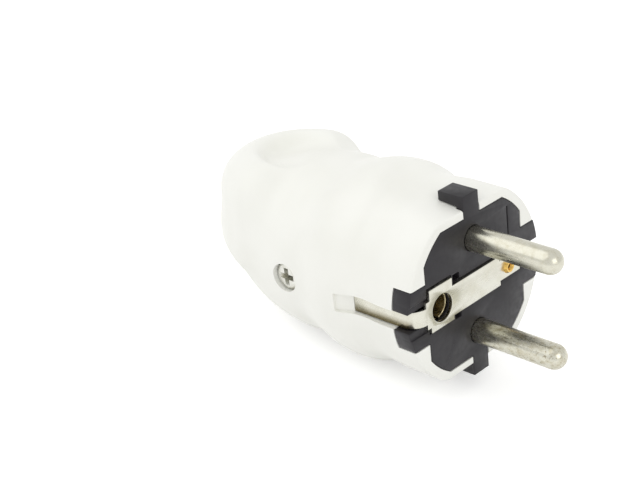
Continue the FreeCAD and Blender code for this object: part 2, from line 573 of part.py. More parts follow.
def addCarrier():
    body = addBody("contact_carrier")
    plate = addSketch(body, "YZ_Plane")
    plateOutline(plate, "0")
    pad(body, plate, "plate_thick", backward=True)
    for side in (1, -1):
        for high in (1, -1):
            addArm(body, side, high)
    barrel = addSketch(body, "YZ_Plane", "overcut - plate_thick")
    plateOutline(barrel, "-barrel_step")
    pad(body, barrel, "barrel_len - plate_thick + overcut", backward=True)
    for side in ("", "-"):
        hook = addSketch(body, "XZ_Plane")
        outline(hook, [("0", side + "(plate_flat - overcut)"),
                       ("0", side + "tab_top"),
                       ("-tab_depth", side + "tab_top"),
                       ("-tab_depth", side + "(tab_top - tab_thick)"),
                       ("-tab_neck", side + "(tab_top - tab_thick - tab_slope)"),
                       ("-tab_neck", side + "(plate_flat - overcut)")])
        pad(body, hook, "tab_half * 2", midplane=True)
        chamber = addSketch(body, "YZ_Plane", "-barrel_len")
        rectangle(chamber, "-(block_side / 2 + fit_gap)", side + "(pin_pitch / 2 - block_side / 2 - fit_gap)",
                  "block_side / 2 + fit_gap", side + "(plate_flat + overcut)")
        pocket(body, chamber, "barrel_len - plate_thick - pin_collar_len - fit_gap", forward=True)
        seat = addSketch(body, "YZ_Plane", "-barrel_len")
        disc(seat, "0", side + "pin_pitch / 2", "pin_collar_dia / 2 + fit_gap")
        pocket(body, seat, "barrel_len - plate_thick", forward=True)
        hole = addSketch(body, "YZ_Plane")
        disc(hole, "0", side + "pin_pitch / 2", "pin_dia / 2 + pin_gap")
        pocket(body, hole, "plate_thick + overcut")
        window = addSketch(body, "XZ_Plane", "-(plate_side + 2 * overcut)")
        disc(window, "-(plate_thick + pin_collar_len + terminal_screw_back)", side + "pin_pitch / 2",
             "terminal_screw_head / 2 + screw_room")
        pocket(body, window, "plate_side + 2 * overcut - block_side / 2", forward=True)
    socket = addSketch(body, "YZ_Plane", "overcut - barrel_len")
    disc(socket, "-earth_offset", "0", "sleeve_bore / 2 + sleeve_wall + fit_gap + socket_wall")
    pad(body, socket, "socket_end - barrel_len + overcut", backward=True)
    leg = addSketch(body, "XY_Plane")
    outline(leg, [("-(barrel_len - overcut)", "-leg_outer"),
                  ("-(barrel_len - overcut)", "-(leg_outer - leg_thick)"),
                  ("-leg_end", "-(leg_outer - leg_thick)"),
                  ("-leg_end", "-cord_seat"),
                  ("-(leg_end + leg_foot)", "-cord_seat"),
                  ("-(leg_end + leg_foot)", "-leg_outer")])
    pad(body, leg, "leg_half * 2", midplane=True)
    base = addSketch(body, "XY_Plane")
    rectangle(base, "-clamp_base_end", "-(cord_seat + clamp_base_thick)", "-leg_end", "-cord_seat")
    pad(body, base, "clamp_base_half * 2", midplane=True)
    bore = addSketch(body, "YZ_Plane", "overcut - socket_end")
    disc(bore, "-earth_offset", "0", "sleeve_bore / 2 + sleeve_wall + fit_gap")
    pocket(body, bore, "socket_end - overcut - sleeve_sink", forward=True)
    mouth = addSketch(body, "YZ_Plane")
    disc(mouth, "-earth_offset", "0", "earth_hole_dia / 2")
    pocket(body, mouth, "plate_thick")
    chamber = addSketch(body, "YZ_Plane", "-barrel_len")
    rectangle(chamber, "earth_block_offset - earth_block_width / 2 - fit_gap",
              "-(earth_block_height / 2 + fit_gap)",
              "plate_side - overcut", "earth_block_height / 2 + fit_gap")
    pocket(body, chamber, "barrel_len - plate_thick", forward=True)
    strap = addSketch(body, "YZ_Plane")
    rectangle(strap, "-collar_r", "-(strap_half + strap_gap)",
              "strap_end + strap_gap", "strap_half + strap_gap")
    pocket(body, strap, "sheet - strap_proud")
    eye = addSketch(body, "YZ_Plane")
    rectangle(eye, "-(eye_outer + strap_gap)", "-(eye_low + strap_gap)",
              "-(eye_inner - strap_gap)", "eye_top + strap_gap")
    pocket(body, eye, "sheet - strap_proud")
    tail = addSketch(body, "YZ_Plane")
    rectangle(tail, "strap_end - strap_gap", "-(tail_half + strap_gap)",
              "plate_side + overcut", "tail_half + strap_gap")
    pocket(body, tail, "2 * sheet - strap_proud")
    for high, far in (("", "relief_top"), ("-", "relief_low")):
        relief = addSketch(body, "YZ_Plane")
        rectangle(relief, "-relief_start", high + "strap_half", "-relief_end", high + far)
        pocket(body, relief, "relief_depth")
    slit = addSketch(body, "YZ_Plane")
    rectangle(slit, "earth_offset - slit_half", "slit_low", "earth_offset + slit_half", "slit_top")
    pocket(body, slit, "slit_depth")
    rivet = addSketch(body, "YZ_Plane")
    disc(rivet, "rivet_offset", "0", "rivet_dia / 2 + pin_gap")
    pocket(body, rivet, "plate_thick + overcut")
    centre = addSketch(body, "YZ_Plane", "-barrel_len")
    disc(centre, "0", "0", "cover_screw_dia / 2 + pin_gap")
    pocket(body, centre, "cover_screw_depth", forward=True)
    screwHole = addSketch(body, "XZ_Plane", "leg_outer + overcut")
    disc(screwHole, "-side_screw_back", "0", "side_screw_dia / 2 + screw_clear")
    pocket(body, screwHole, "leg_thick + 2 * overcut")
    nutSeat = addSketch(body, "XZ_Plane", "leg_outer - leg_thick - overcut")
    rectangle(nutSeat, "-(side_screw_back + nut_side / 2 + close_gap)", "-(nut_side / 2 + close_gap)",
              "-(side_screw_back - nut_side / 2 - close_gap)", "nut_side / 2 + close_gap")
    pocket(body, nutSeat, "nut_thick + 2 * close_gap + overcut", forward=True)
    clampHoles = addSketch(body, "XZ_Plane", "cord_seat - overcut")
    for high in ("", "-"):
        disc(clampHoles, "-clamp_back", high + "clamp_screw_pitch / 2", "clamp_screw_dia / 2 + pin_gap")
    pocket(body, clampHoles, "clamp_base_thick + 2 * overcut", forward=True)
    return body


# LINE CONTACTS
# a solid round pin with a domed tip, a turned neck, a shoulder and a square screw terminal
def addPin(label, high):
    body = addBody(label)
    half = addSketch(body, "XZ_Plane")
    radius, tip, back = size("pin_dia / 2"), size("pin_reach"), size("plate_thick + pin_collar_len")
    thin = size("pin_neck_dia / 2")
    floor = line(half, (-back, 0), (tip, 0))
    middle = FreeCAD.Vector(tip - radius, 0, 0)
    dome = Part.Circle(middle, FreeCAD.Vector(0, 0, 1), radius)
    curve = half.addGeometry(Part.ArcOfCircle(dome, 0, math.pi / 2))
    side = line(half, (tip - radius, radius), (0, radius))
    step = line(half, (0, radius), (0, thin))
    neck = line(half, (0, thin), (-back, thin))
    rear = line(half, (-back, thin), (-back, 0))
    closeLoop(half, [floor, curve, side, step, neck, rear])
    half.addConstraint(Sketcher.Constraint("PointOnObject", floor, 1, -1))
    half.addConstraint(Sketcher.Constraint("PointOnObject", curve, 3, -1))
    half.addConstraint(Sketcher.Constraint("Horizontal", floor))
    half.addConstraint(Sketcher.Constraint("Vertical", rear))
    half.addConstraint(Sketcher.Constraint("Horizontal", side))
    half.addConstraint(Sketcher.Constraint("PointOnObject", step, 1, -2))
    half.addConstraint(Sketcher.Constraint("Vertical", step))
    half.addConstraint(Sketcher.Constraint("Horizontal", neck))
    half.addConstraint(Sketcher.Constraint("Vertical", curve, 3, side, 1))
    setDatum(half, "DistanceY", neck, 1, "pin_neck_dia / 2")
    setDatum(half, "Radius", curve, 0, "pin_dia / 2")
    setDatum(half, "DistanceX", curve, 1, "pin_reach")
    setDatum(half, "DistanceX", rear, 1, "-(plate_thick + pin_collar_len)")
    turned(body, "Revolution", half)
    collar = addSketch(body, "YZ_Plane", "-(plate_thick + fit_gap)")
    disc(collar, "0", "0", "pin_collar_dia / 2")
    pad(body, collar, "pin_collar_len", backward=True)
    block = addSketch(body, "YZ_Plane", "-(plate_thick + pin_collar_len + fit_gap)")
    rectangle(block, "-block_side / 2", "-block_side / 2", "block_side / 2", "block_side / 2")
    pad(body, block, "block_len", backward=True)
    dress(body, "Chamfer", "block_edge",
          lambda box: near(box.XLength, size("block_len")) and near(box.YLength, 0))
    wire = addSketch(body, "YZ_Plane", "-(plate_thick + pin_collar_len + fit_gap + block_len)")
    disc(wire, "0", "0", "wire_hole_dia / 2")
    pocket(body, wire, "block_len - wire_stop", forward=True)
    thread = addSketch(body, "XZ_Plane", "-(block_side / 2 + overcut)")
    disc(thread, "-(plate_thick + pin_collar_len + terminal_screw_back)", "0",
         "terminal_screw_dia / 2 + pin_gap")
    pocket(body, thread, "block_side / 2 + overcut", forward=True)
    place(body, z=high + "pin_pitch / 2")
    return body


# FASTENERS
# all screws stand on local Z with the underside of the head at zero
def addScrew(label, shank, reach, head, height, cross=False):
    body = addBody(label)
    top = addSketch(body, "XY_Plane")
    disc(top, "0", "0", head + " / 2")
    pad(body, top, height)
    headTop = size(height)
    dress(body, "Fillet", height + " * round_share", lambda box: near(box.ZMin, headTop))
    stem = addSketch(body, "XY_Plane")
    disc(stem, "0", "0", shank + " / 2")
    pad(body, stem, reach, backward=True)
    stemEnd = -size(reach)
    dress(body, "Chamfer", shank + " * tip_share", lambda box: near(box.ZMax, stemEnd))
    reach, wide = head + " / 2", "drive_width / 2"
    if cross:
        reach, wide = head + " * cross_share", "cross_width / 2"
        second = addSketch(body, "XY_Plane", height)
        rectangle(second, "-" + wide, "-" + reach, wide, reach)
        pocket(body, second, height + " * drive_share")
    drive = addSketch(body, "XY_Plane", height)
    rectangle(drive, "-" + reach, "-" + wide, reach, wide)
    pocket(body, drive, height + " * drive_share")
    return body


def addFasteners():
    screws = []
    for label, high in (("terminal_screw_upper", ""), ("terminal_screw_lower", "-")):
        screw = addScrew(label, "terminal_screw_dia", "terminal_screw_len",
                         "terminal_screw_head", "terminal_screw_height")
        place(screw, "-(plate_thick + pin_collar_len + terminal_screw_back)", "block_side / 2 + head_lift",
              high + "pin_pitch / 2", angle=-90)
        screws.append(screw)
    earth = addScrew("earth_terminal_screw", "terminal_screw_dia", "earth_screw_len",
                     "earth_screw_head", "earth_screw_height")
    place(earth, "-(plate_thick + earth_screw_back)",
          "earth_block_offset + earth_block_width / 2 + earth_head_lift", "0", angle=-90)
    screws.append(earth)
    cover = addScrew("cover_screw", "cover_screw_dia", "cover_screw_len",
                     "cover_screw_head", "cover_screw_height")
    place(cover, "-(barrel_len + cover_thick)", axis=(0, 1, 0), angle=-90)
    screws.append(cover)
    for label, high in (("clamp_screw_upper", ""), ("clamp_screw_lower", "-")):
        screw = addScrew(label, "clamp_screw_dia", "clamp_screw_len",
                         "clamp_screw_head", "clamp_screw_height")
        place(screw, "-clamp_back", "clamp_sheet - (cord_seat - cord_dia / 2 + ear_drop)",
              high + "clamp_screw_pitch / 2", angle=-90)
        screws.append(screw)
    side = addScrew("housing_screw", "side_screw_dia", "side_screw_len",
                    "side_screw_head", "side_screw_height", cross=True)
    place(side, "-side_screw_back", "-side_screw_seat", "0", angle=90)
    screws.append(side)
    return screws


def addNut():
    body = addBody("housing_nut")
    block = addSketch(body, "XY_Plane")
    rectangle(block, "-nut_side / 2", "-nut_side / 2", "nut_side / 2", "nut_side / 2")
    disc(block, "0", "0", "side_screw_dia / 2 + pin_gap")
    pad(body, block, "nut_thick")
    place(body, "-side_screw_back", "-(leg_outer - leg_thick + nut_thick + close_gap)", "0", angle=-90)
    return body


# EARTH CONTACTS
# one stamped strip: lobes round the earth hole, a tail to the rivet, and a side clip
# bent back along the barrel
def bentClip(body, side, level, inner):
    edge = addSketch(body, "XY_Plane")
    outline(edge, [(level, side + inner),
                   (level, side + "clip_face"),
                   ("-(slot_len - close_gap)", side + "clip_face"),
                   ("-(slot_len - close_gap)", side + "(clip_face - sheet)"),
                   ("(%s) - sheet" % level, side + "(clip_face - sheet)"),
                   ("(%s) - sheet" % level, side + inner)])
    pad(body, edge, "clip_half * 2", midplane=True)
    front, face = size(level), size("clip_face")
    dress(body, "Fillet", "clip_bend", lambda box: near(box.XMin, front) and near(box.XMax, front)
          and near(max(abs(box.YMin), abs(box.YMax)), face) and box.YLength < 0.1)
    dress(body, "Fillet", "clip_bend - sheet", lambda box: near(box.XMin, front - size("sheet"))
          and near(box.XMax, front - size("sheet"))
          and near(max(abs(box.YMin), abs(box.YMax)), face - size("sheet")) and box.YLength < 0.1)


def addStrap():
    body = addBody("earth_strap")
    bentClip(body, "-", "strap_proud", "eye_inner")
    flat = addSketch(body, "YZ_Plane", "strap_proud - sheet")
    outline(flat, [("-(clip_face - clip_bend)", "-shoulder_half"), ("-eye_outer", "-shoulder_half"),
                   ("-eye_outer", "-eye_low"), ("-eye_inner", "-eye_low"),
                   ("-eye_inner", "-strap_half"), ("strap_end", "-strap_half"),
                   ("strap_end", "-tail_half"), ("tail_end", "-tail_half"),
                   ("tail_end", "tail_half"), ("strap_end", "tail_half"),
                   ("strap_end", "strap_half"), ("-eye_inner", "strap_half"),
                   ("-eye_inner", "eye_top"), ("-eye_outer", "eye_top"),
                   ("-eye_outer", "shoulder_half"), ("-(clip_face - clip_bend)", "shoulder_half")])
    pad(body, flat, "sheet")
    hole = addSketch(body, "YZ_Plane", "strap_proud")
    disc(hole, "-earth_offset", "0", "earth_hole_dia / 2")
    disc(hole, "rivet_offset", "0", "rivet_dia / 2 + pin_gap")
    pocket(body, hole, "sheet")
    return body


def addFarClip():
    body = addBody("earth_clip_far")
    bentClip(body, "", "strap_proud - sheet", "strap_end + strap_gap")
    hole = addSketch(body, "YZ_Plane", "strap_proud - sheet")
    disc(hole, "rivet_offset", "0", "rivet_dia / 2 + pin_gap")
    pocket(body, hole, "sheet")
    return body


# a tubular rivet with a dished head
def addRivet():
    body = addBody("earth_rivet")
    half = addSketch(body, "XZ_Plane")
    outline(half, [("strap_proud", "rivet_bore / 2"),
                   ("strap_proud + rivet_head", "rivet_dish / 2"),
                   ("strap_proud + rivet_head", "rivet_head_dia / 2 - rivet_edge"),
                   ("strap_proud", "rivet_head_dia / 2"),
                   ("strap_proud", "rivet_dia / 2"),
                   ("-rivet_back", "rivet_dia / 2"),
                   ("-rivet_back", "rivet_bore / 2")])
    turned(body, "Revolution", half)
    place(body, y="rivet_offset")
    return body


# the spring sleeve that grips the earth pin of a socket
def addSleeve():
    body = addBody("earth_socket_sleeve")
    ring = addSketch(body, "YZ_Plane", "-(sleeve_sink + close_gap)")
    disc(ring, "0", "0", "sleeve_bore / 2 + sleeve_wall")
    disc(ring, "0", "0", "sleeve_bore / 2")
    pad(body, ring, "sleeve_len", backward=True)
    slit = addSketch(body, "XY_Plane")
    rectangle(slit, "-sleeve_slit_len", "-sleeve_slit / 2", "0", "sleeve_slit / 2")
    pocket(body, slit, "sleeve_bore * 2", midplane=True)
    place(body, y="-earth_offset")
    return body


def addEarthTerminal():
    body = addBody("earth_terminal")
    block = addSketch(body, "YZ_Plane")
    rectangle(block, "-earth_block_width / 2", "-earth_block_height / 2",
              "earth_block_width / 2", "earth_block_height / 2")
    pad(body, block, "earth_block_len", backward=True)
    wire = addSketch(body, "YZ_Plane", "-earth_block_len")
    disc(wire, "0", "0", "wire_hole_dia / 2")
    pocket(body, wire, "earth_block_len - earth_wire_stop", forward=True)
    rivet = addSketch(body, "YZ_Plane")
    disc(rivet, "rivet_offset - earth_block_offset", "0", "rivet_dia / 2 + pin_gap")
    pocket(body, rivet, "earth_rivet_depth")
    thread = addSketch(body, "XZ_Plane", "-(earth_block_width / 2 + overcut)")
    disc(thread, "close_gap - earth_screw_back", "0", "terminal_screw_dia / 2 + pin_gap")
    pocket(body, thread, "earth_block_width / 2 + overcut + earth_thread_past", forward=True)
    place(body, x="-(plate_thick + close_gap)", y="earth_block_offset")
    return body


# CARRIER COVER
# closes the rear of the terminal chambers and leaves the wire holes open
def addCover():
    body = addBody("contact_cover")
    plate = addSketch(body, "YZ_Plane", "-barrel_len")
    outline(plate, [("-cover_side", "-cover_half"), ("cover_half - cover_corner", "-cover_half"),
                    ("cover_width", "-cover_corner_height"), ("cover_width", "cover_corner_height"),
                    ("cover_half - cover_corner", "cover_half"), ("-cover_side", "cover_half")])
    pad(body, plate, "cover_thick", backward=True)
    wires = addSketch(body, "YZ_Plane", "overcut - barrel_len")
    disc(wires, "0", "pin_pitch / 2", "wire_window / 2")
    disc(wires, "0", "-pin_pitch / 2", "wire_window / 2")
    disc(wires, "earth_block_offset", "0", "wire_window / 2")
    disc(wires, "0", "0", "cover_screw_dia / 2 + close_gap")
    pocket(body, wires, "cover_thick + 2 * overcut")
    return body


# CORD CLAMP
# a bent steel saddle that presses the cord on its base
def addSaddle():
    body = addBody("cord_clamp_saddle")
    middle = "-(cord_seat - cord_dia / 2)"
    foot = "-(cord_seat - cord_dia / 2 + ear_drop)"
    arch = addSketch(body, "YZ_Plane", "-clamp_back")
    disc(arch, middle, "0", "cord_dia / 2 + clamp_sheet")
    pad(body, arch, "clamp_len", midplane=True)
    ears = addSketch(body, "YZ_Plane", "-clamp_back")
    rectangle(ears, foot, "-(clamp_screw_pitch / 2 + ear_end)",
              "clamp_sheet " + foot, "clamp_screw_pitch / 2 + ear_end")
    pad(body, ears, "clamp_len", midplane=True)
    cord = addSketch(body, "YZ_Plane", "-clamp_back")
    disc(cord, middle, "0", "cord_dia / 2")
    pocket(body, cord, "clamp_len + overcut", midplane=True)
    under = addSketch(body, "YZ_Plane", "-clamp_back")
    rectangle(under, "-(cord_seat + cord_dia)", "-cord_dia", foot, "cord_dia")
    pocket(body, under, "clamp_len + overcut", midplane=True)
    holes = addSketch(body, "XZ_Plane")
    for high in ("", "-"):
        disc(holes, "-clamp_back", high + "clamp_screw_pitch / 2", "clamp_screw_dia / 2 + close_gap")
    pocket(body, holes, "cord_seat", forward=True)
    return body


def addGrommet():
    body = addBody("inlet_grommet")
    half = addSketch(body, "XZ_Plane")
    outline(half, [("-(cavity_end - grommet_flange)", "grommet_bore / 2"),
                   ("-(cavity_end - grommet_flange)", "grommet_flange_dia / 2"),
                   ("-cavity_end", "grommet_flange_dia / 2"),
                   ("-cavity_end", "inlet_dia / 2 - pin_gap"),
                   ("-(body_len - grommet_sink)", "inlet_dia / 2 - pin_gap"),
                   ("-(body_len - grommet_sink)", "grommet_bore / 2")])
    turned(body, "Revolution", half)
    return body


nodes = [addHousing(), addCarrier(), addPin("pin_upper", ""), addPin("pin_lower", "-")]
nodes += addFasteners()
nodes += [addNut(), addStrap(), addFarClip(), addRivet(), addSleeve(), addEarthTerminal()]
nodes += [addCover(), addSaddle(), addGrommet()]
doc.recompute()

for item in doc.Objects:
    if "Invalid" in item.State or "Error" in item.State:
        raise RuntimeError("%s failed: %s" % (item.Label, item.State))
os.makedirs("parts", exist_ok=True)
for node in nodes:
    shape = node.Shape
    if shape.isNull() or not shape.isValid() or not shape.Solids:
        raise RuntimeError("%s has no valid solid" % node.Label)
    shape.exportStep("parts/%s.step" % node.Label)
    print(node.Label, len(shape.Solids), "solids", round(shape.Volume, 1), "mm3")
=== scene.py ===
import bpy, bmesh, math
import numpy as np
from mathutils import Matrix, Vector


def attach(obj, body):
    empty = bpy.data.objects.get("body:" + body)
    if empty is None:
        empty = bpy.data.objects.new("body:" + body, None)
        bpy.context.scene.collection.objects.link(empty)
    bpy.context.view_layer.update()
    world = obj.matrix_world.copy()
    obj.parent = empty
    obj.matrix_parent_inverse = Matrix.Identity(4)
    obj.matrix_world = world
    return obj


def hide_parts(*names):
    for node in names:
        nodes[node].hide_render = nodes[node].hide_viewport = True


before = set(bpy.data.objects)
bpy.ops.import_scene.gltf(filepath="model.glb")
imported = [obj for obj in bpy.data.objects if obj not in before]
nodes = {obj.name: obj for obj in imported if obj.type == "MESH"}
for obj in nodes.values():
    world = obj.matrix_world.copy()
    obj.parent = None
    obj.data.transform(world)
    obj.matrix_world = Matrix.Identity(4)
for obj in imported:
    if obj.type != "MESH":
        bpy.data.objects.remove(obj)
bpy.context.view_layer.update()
mm = 0.001
print("frame loaded")


# colours and shader nodes

def linearColour(hexText):
    channels = [int(hexText[i:i + 2], 16) / 255 for i in (1, 3, 5)]
    linear = [c / 12.92 if c <= 0.04045 else ((c + 0.055) / 1.055) ** 2.4 for c in channels]
    return (*linear, 1.0)


def addNode(tree, kind, values=None, links=None, **settings):
    node = tree.nodes.new(kind)
    for key, value in settings.items():
        setattr(node, key, value)
    for key, value in (values or {}).items():
        node.inputs[key].default_value = value
    for key, source in (links or {}).items():
        tree.links.new(source, node.inputs[key])
    return node


def newMaterial(name):
    material = bpy.data.materials.new(name)
    material.use_nodes = True
    tree = material.node_tree
    tree.nodes.clear()
    place = addNode(tree, "ShaderNodeTexCoord").outputs["Object"]
    return material, tree, place


# a noise whose features are about `feature` millimetres apart; a stretch below 1 draws them
# out along that axis
def noiseOf(tree, place, feature, detail, stretch=(1, 1, 1)):
    spread = addNode(tree, "ShaderNodeMapping", {"Scale": stretch}, {"Vector": place})
    noise = addNode(tree, "ShaderNodeTexNoise",
                    {"Scale": 1 / (feature * mm), "Detail": detail},
                    {"Vector": spread.outputs[0]})
    return noise.outputs[0]


def rangeOf(tree, source, fromLow, fromHigh, toLow, toHigh):
    values = {"From Min": fromLow, "From Max": fromHigh, "To Min": toLow, "To Max": toHigh}
    return addNode(tree, "ShaderNodeMapRange", values, {"Value": source}).outputs[0]


# in a colour mix, inputs 0, 6 and 7 are the factor and the two colours, output 2 the result
def mixOf(tree, factor, first, second):
    mix = addNode(tree, "ShaderNodeMix", {7: second}, {0: factor}, data_type="RGBA")
    if isinstance(first, tuple):
        mix.inputs[6].default_value = first
    else:
        tree.links.new(first, mix.inputs[6])
    return mix.outputs[2]


# materials
# every look gives its noises as (millimetres between features, detail, stretch), a band as
# the noise values where a second colour sets in and is full, rough as the lowest and highest
# roughness, and the grain's depth in millimetres

noiseSpan = (0.3, 0.7)    # holds nearly all values of a noise


def cloudedColour(tree, place, look):
    cloud = rangeOf(tree, noiseOf(tree, place, *look["cloudNoise"]), *look["cloudBand"],
                    0, look["cloudShare"])
    return mixOf(tree, cloud, linearColour(look["colour"]), linearColour(look["cloud"]))


def finishMaterial(tree, place, look, colour, height):
    rough = rangeOf(tree, noiseOf(tree, place, *look["roughNoise"]), *noiseSpan, *look["rough"])
    bump = addNode(tree, "ShaderNodeBump",
                   {"Strength": look["grainStrength"], "Distance": look["grainDepth"] * mm},
                   {"Height": height})
    shader = addNode(tree, "ShaderNodeBsdfPrincipled", look["shader"],
                     {"Base Color": colour, "Roughness": rough, "Normal": bump.outputs[0]})
    addNode(tree, "ShaderNodeOutputMaterial", links={"Surface": shader.outputs[0]})


def cloudedMaterial(name, look):
    material, tree, place = newMaterial(name)
    finishMaterial(tree, place, look, cloudedColour(tree, place, look),
                   noiseOf(tree, place, *look["grainNoise"]))
    return material


# injection moulded ABS, warm white: half gloss over a spark-eroded grain of 0.28 mm, with
# faint clouds of 14 mm from the flow of the melt
whiteAbs = cloudedMaterial("mouldedWhiteAbs", {
    "colour": "#f0f0ea", "cloud": "#ecece5",
    "cloudNoise": (14, 2), "cloudBand": (0.35, 0.65), "cloudShare": 1,
    "roughNoise": (1.6, 4), "rough": (0.40, 0.50),
    "grainNoise": (0.28, 2), "grainStrength": 0.12, "grainDepth": 0.02,
    "shader": {"IOR": 1.53},
})

# injection moulded polyamide, charcoal: a 0.22 mm texture, a little uneven in depth
charcoal = cloudedMaterial("mouldedCharcoalPolyamide", {
    "colour": "#1d1b1e", "cloud": "#262428",
    "cloudNoise": (7, 3), "cloudBand": (0.3, 0.7), "cloudShare": 1,
    "roughNoise": (1.1, 4), "rough": (0.34, 0.5),
    "grainNoise": (0.22, 2), "grainStrength": 0.3, "grainDepth": 0.02,
    "shader": {"IOR": 1.5, "Specular IOR Level": 0.36},
})

# cold headed steel, zinc plated: pale grey with a faint warm bloom in the plating
zinc = cloudedMaterial("zincSteel", {
    "colour": "#d6d6d0", "cloud": "#bdbbae",
    "cloudNoise": (1.5, 3), "cloudBand": (0.4, 0.7), "cloudShare": 1,
    "roughNoise": (0.4, 4), "rough": (0.25, 0.42),
    "grainNoise": (0.2, 3), "grainStrength": 0.2, "grainDepth": 0.02,
    "shader": {"Metallic": 1.0},
})

# moulded rubber, black: matt, with a bloom that greys it in patches of 2 mm
rubber = cloudedMaterial("mouldedRubber", {
    "colour": "#1d1d1e", "cloud": "#2b2b2c",
    "cloudNoise": (2.0, 4), "cloudBand": (0.4, 0.7), "cloudShare": 1,
    "roughNoise": (0.7, 3), "rough": (0.6, 0.75),
    "grainNoise": (0.3, 3), "grainStrength": 0.3, "grainDepth": 0.03,
    "shader": {"IOR": 1.5},
})


# bare brass, drawn and turned: yellow, darker where the hand and the air have reached it
def bareBrass(name, colour, tarnish):
    return cloudedMaterial(name, {
        "colour": colour, "cloud": tarnish,
        "cloudNoise": (1.2, 4), "cloudBand": (0.4, 0.7), "cloudShare": 1,
        "roughNoise": (0.6, 3), "rough": (0.2, 0.38),
        "grainNoise": (0.25, 3), "grainStrength": 0.15, "grainDepth": 0.02,
        "shader": {"Metallic": 1.0},
    })


rivetBrass = bareBrass("rivetBrass", "#e0bd6e", "#c49a4c")
sleeveBrass = bareBrass("sleeveBrass", "#c4b896", "#9a8d6c")
terminalBrass = bareBrass("terminalBrass", "#d9b56a", "#ae8440")


# turned brass, nickel plated: satin from tumbling, its clouds and scratches drawn out a
# little along the pin, with 0.4 mm flecks where a pin has been pushed home more often
def satinNickelPin(name, wear):
    look = {
        "colour": "#cccabc", "cloud": "#a59c80", "fleck": "#857a5c",
        "cloudNoise": (1.0, 4, (0.8, 1, 1)), "cloudBand": (0.45, 0.75),
        "cloudShare": 0.3 + 0.6 * wear,
        "fleckNoise": (0.4, 3, (0.8, 1, 1)), "fleckBand": (0.6, 0.67), "fleckShare": 0.8 * wear,
        "roughNoise": (0.8, 4, (0.5, 1, 1)), "rough": (0.23, 0.3 + 0.02 * wear),
        "scratchNoise": (0.25, 3, (0.4, 1, 1)), "scratchBand": (0.6, 0.72),
        "grainStrength": 0.04 + 0.06 * wear, "grainDepth": 0.02,
        "shader": {"Metallic": 1.0},
    }
    material, tree, place = newMaterial(name)
    fleck = rangeOf(tree, noiseOf(tree, place, *look["fleckNoise"]), *look["fleckBand"],
                    0, look["fleckShare"])
    colour = mixOf(tree, fleck, cloudedColour(tree, place, look), linearColour(look["fleck"]))
    scratch = rangeOf(tree, noiseOf(tree, place, *look["scratchNoise"]), *look["scratchBand"],
                      0, 1)
    finishMaterial(tree, place, look, colour, scratch)
    return material


pinNickel = satinNickelPin("pinNickel", 0.1)
scuffedPinNickel = satinNickelPin("scuffedPinNickel", 0.8)


# rolled brass strip, stamped and nickel plated: paler and flatter than the pins, with a fine
# grain along Y, and a brownish painted shade on the lower edge of the clip in the housing's side
# slot
def nickelStrip():
    look = {
        # edge is the colour of the painted shade on the clip's lower edge inside the side slot; the
        # Y and Z bands below place it, and the share after them sets its strength
        "colour": "#d3d2c7", "cloud": "#c8c6b8", "edge": "#7f7557",
        "cloudNoise": (3.5, 4), "cloudBand": (0.4, 0.65), "cloudShare": 0.8,
        "paintedShadeY": (-16.6, -17.2), "paintedShadeZ": (0.2, -1.3), "brown": (0.08, 1),
        "roughNoise": (0.8, 4, (1, 0.15, 1)), "rough": (0.24, 0.32),
        "grainNoise": (0.3, 3, (1, 0.1, 1)), "grainStrength": 0.06, "grainDepth": 0.02,
        "shader": {"Metallic": 1.0},
    }
    material, tree, place = newMaterial("nickelStrip")
    # painted shade: darker towards the clip's lower edge where it lies in the side slot
    parts = addNode(tree, "ShaderNodeSeparateXYZ", links={0: place})
    side = rangeOf(tree, parts.outputs[1], *[y * mm for y in look["paintedShadeY"]], 0, 1)
    low = rangeOf(tree, parts.outputs[2], *[z * mm for z in look["paintedShadeZ"]], *look["brown"])
    brown = addNode(tree, "ShaderNodeMath", links={0: side, 1: low}, operation="MULTIPLY")
    colour = mixOf(tree, brown.outputs[0], cloudedColour(tree, place, look),
                   linearColour(look["edge"]))
    finishMaterial(tree, place, look, colour, noiseOf(tree, place, *look["grainNoise"]))
    return material


stripNickel = nickelStrip()
print("materials ready")


# mesh helpers

def addPiece(name, mesh, material, slotName, *replaced):
    piece = bpy.data.objects.new(name, mesh)
    bpy.context.collection.objects.link(piece)
    mesh.materials.clear()
    mesh.materials.append(material)
    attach(piece, "root")
    if replaced:
        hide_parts(*replaced)
    return piece


def meshFrom(name, points, faces):
    mesh = bpy.data.meshes.new(name)
    mesh.from_pydata([tuple(p) for p in points], [], [tuple(f) for f in faces])
    return mesh


def applied(piece):
    graph = bpy.context.evaluated_depsgraph_get()
    return bpy.data.meshes.new_from_object(piece.evaluated_get(graph))


# faces turned outwards, and shaded smooth but for edges sharper than the angle in degrees
def outwardNormals(mesh, angle=35):
    form = bmesh.new()
    form.from_mesh(mesh)
    bmesh.ops.recalc_face_normals(form, faces=form.faces)
    form.to_mesh(mesh)
    form.free()
    mesh.polygons.foreach_set("use_smooth", [True] * len(mesh.polygons))
    mesh.set_sharp_from_angle(angle=math.radians(angle))
    mesh.update()


# a closed prism: an outline in two axes, drawn out along the third one, all in millimetres
def prism(outline, axis, start, end):
    order = {"X": (2, 0, 1), "Y": (0, 2, 1), "Z": (0, 1, 2)}[axis]
    count = len(outline)
    points = []
    for level in (start, end):
        for a, b in outline:
            flat = (a, b, level)
            points.append([flat[i] * mm for i in order])
    faces = [list(range(count)), list(range(count, 2 * count))]
    faces += [[i, (i + 1) % count, count + (i + 1) % count, count + i] for i in range(count)]
    mesh = meshFrom("cutter", points, faces)
    outwardNormals(mesh)
    return mesh


def box(low, high):
    outline = [(low[0], low[1]), (high[0], low[1]), (high[0], high[1]), (low[0], high[1])]
    return prism(outline, "Z", low[2], high[2])


